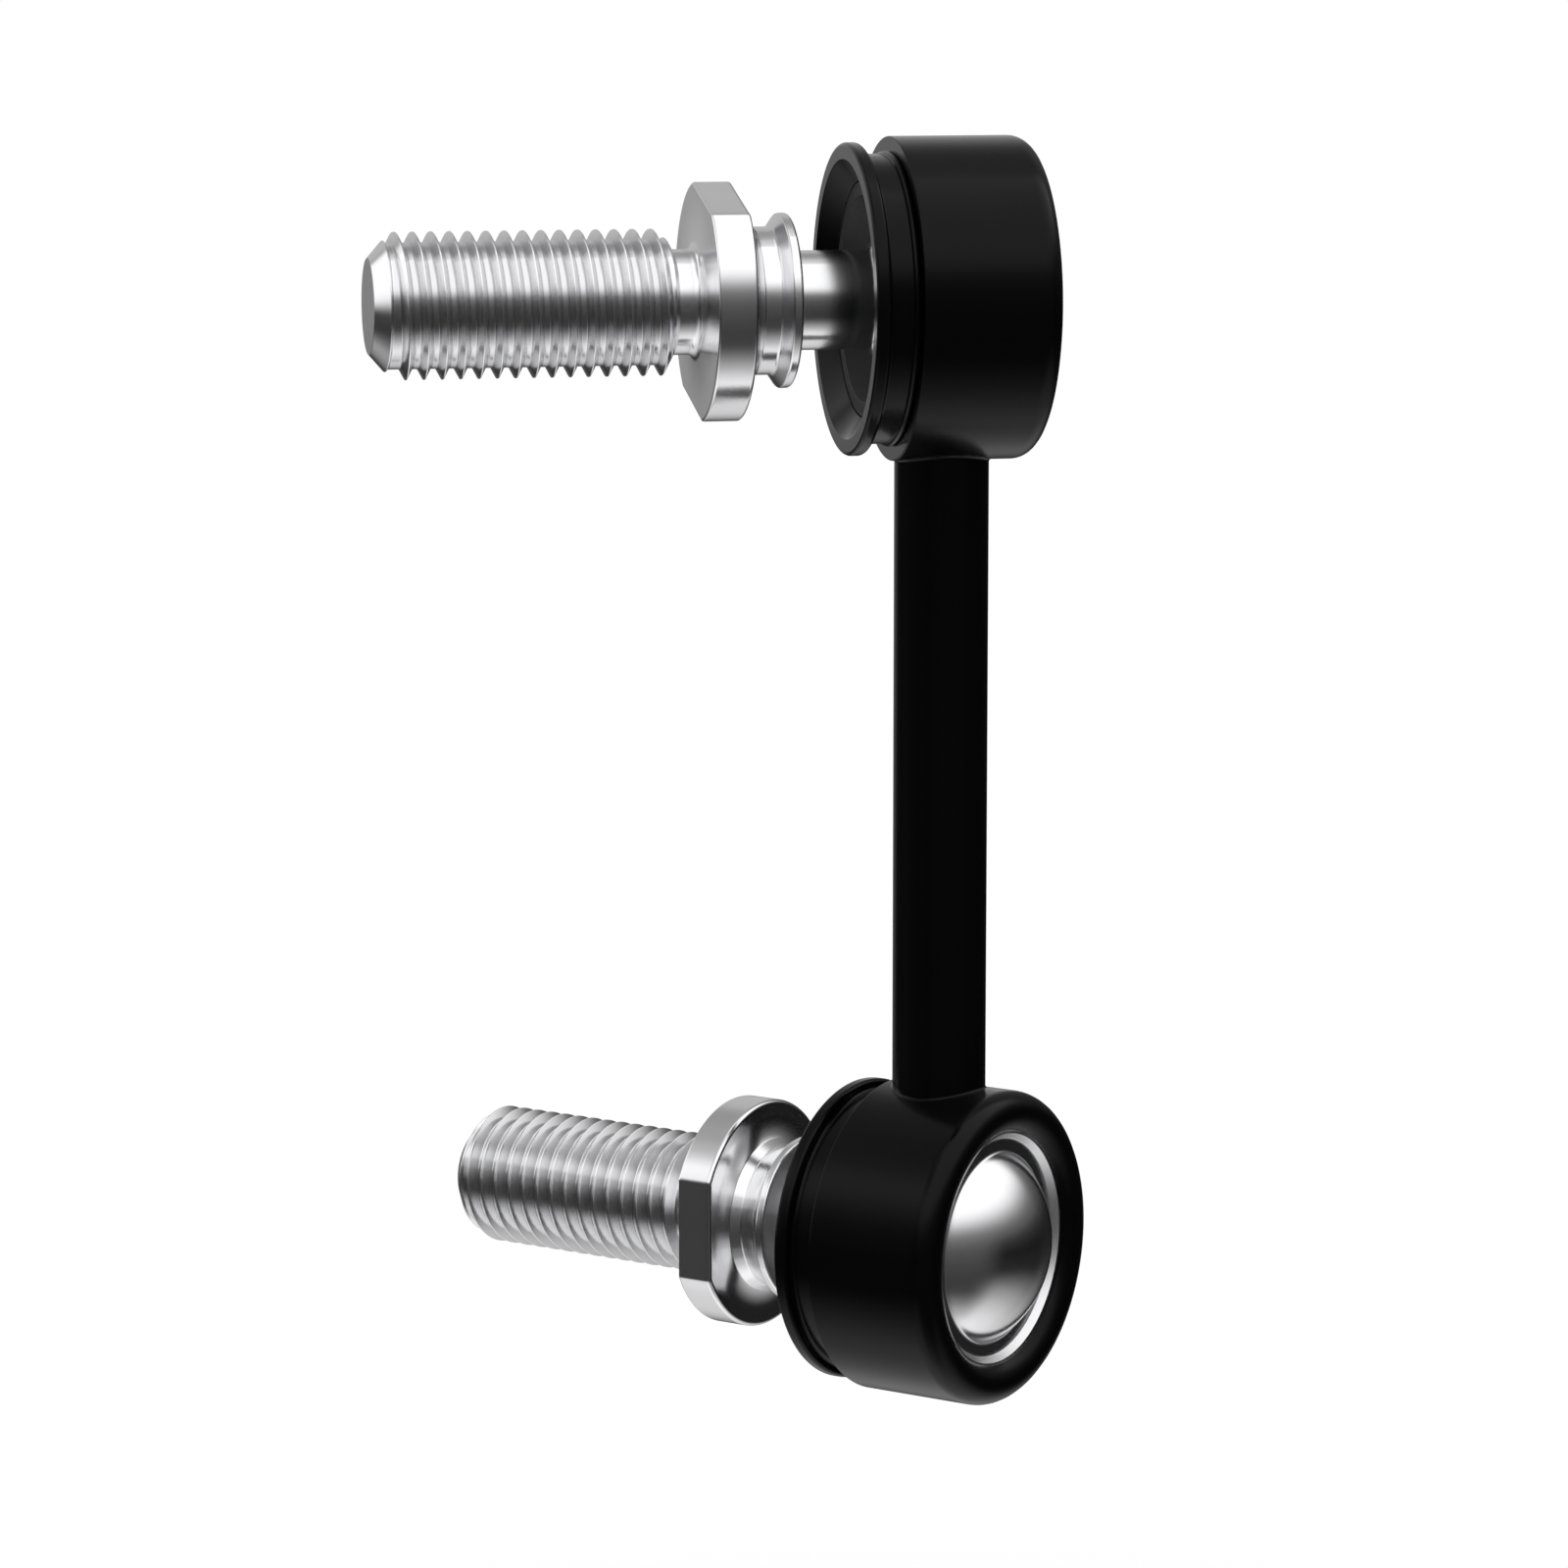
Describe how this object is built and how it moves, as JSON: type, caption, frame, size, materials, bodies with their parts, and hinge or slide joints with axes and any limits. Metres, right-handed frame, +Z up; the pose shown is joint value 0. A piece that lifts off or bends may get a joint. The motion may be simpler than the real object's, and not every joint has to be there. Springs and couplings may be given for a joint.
{
  "type": "stabilizer link",
  "caption": "Short steel link rod with a ball joint at each end, whose threaded ball studs point sideways and are turned against each other.",
  "frame": {"origin": "centre of the lower ball, on the rod's axis", "axes": "+Z up along the rod to the upper ball, -X along the upper stud from its ball to its thread's end"},
  "size_m": [0.0614, 0.0504, 0.106],
  "materials": {
    "black_coating": "black satin coating",
    "bright_steel": "bright machined and plated steel",
    "seat_plastic": "black moulded plastic"
  },
  "bodies": {
    "link": {"link_rod": "black_coating", "upper_housing": "black_coating", "upper_cover_plate": "bright_steel", "lower_housing": "black_coating", "lower_cover_plate": "bright_steel"},
    "upper_seat": {"upper_ball_seat": "seat_plastic"},
    "upper_stud": {"upper_ball_stud": "bright_steel"},
    "lower_seat": {"lower_ball_seat": "seat_plastic"},
    "lower_stud": {"lower_ball_stud": "bright_steel"}
  },
  "joints": [
    {"name": "upper_swivel", "type": "hinge", "parent": "link", "child": "upper_seat", "pos_m": [0, 0, 0.0794], "axis": [-1, 0, 0], "continuous": true},
    {"name": "upper_tilt", "type": "hinge", "parent": "upper_seat", "child": "upper_stud", "pos_m": [0, 0, 0.0794], "axis": [0, 1, 0], "range_deg": [-25, 25]},
    {"name": "lower_swivel", "type": "hinge", "parent": "link", "child": "lower_seat", "pos_m": [0, 0, 0], "axis": [-0.7071, 0.7071, 0], "continuous": true},
    {"name": "lower_tilt", "type": "hinge", "parent": "lower_seat", "child": "lower_stud", "pos_m": [0, 0, 0], "axis": [0.7071, 0.7071, 0], "range_deg": [-25, 25]}
  ]
}
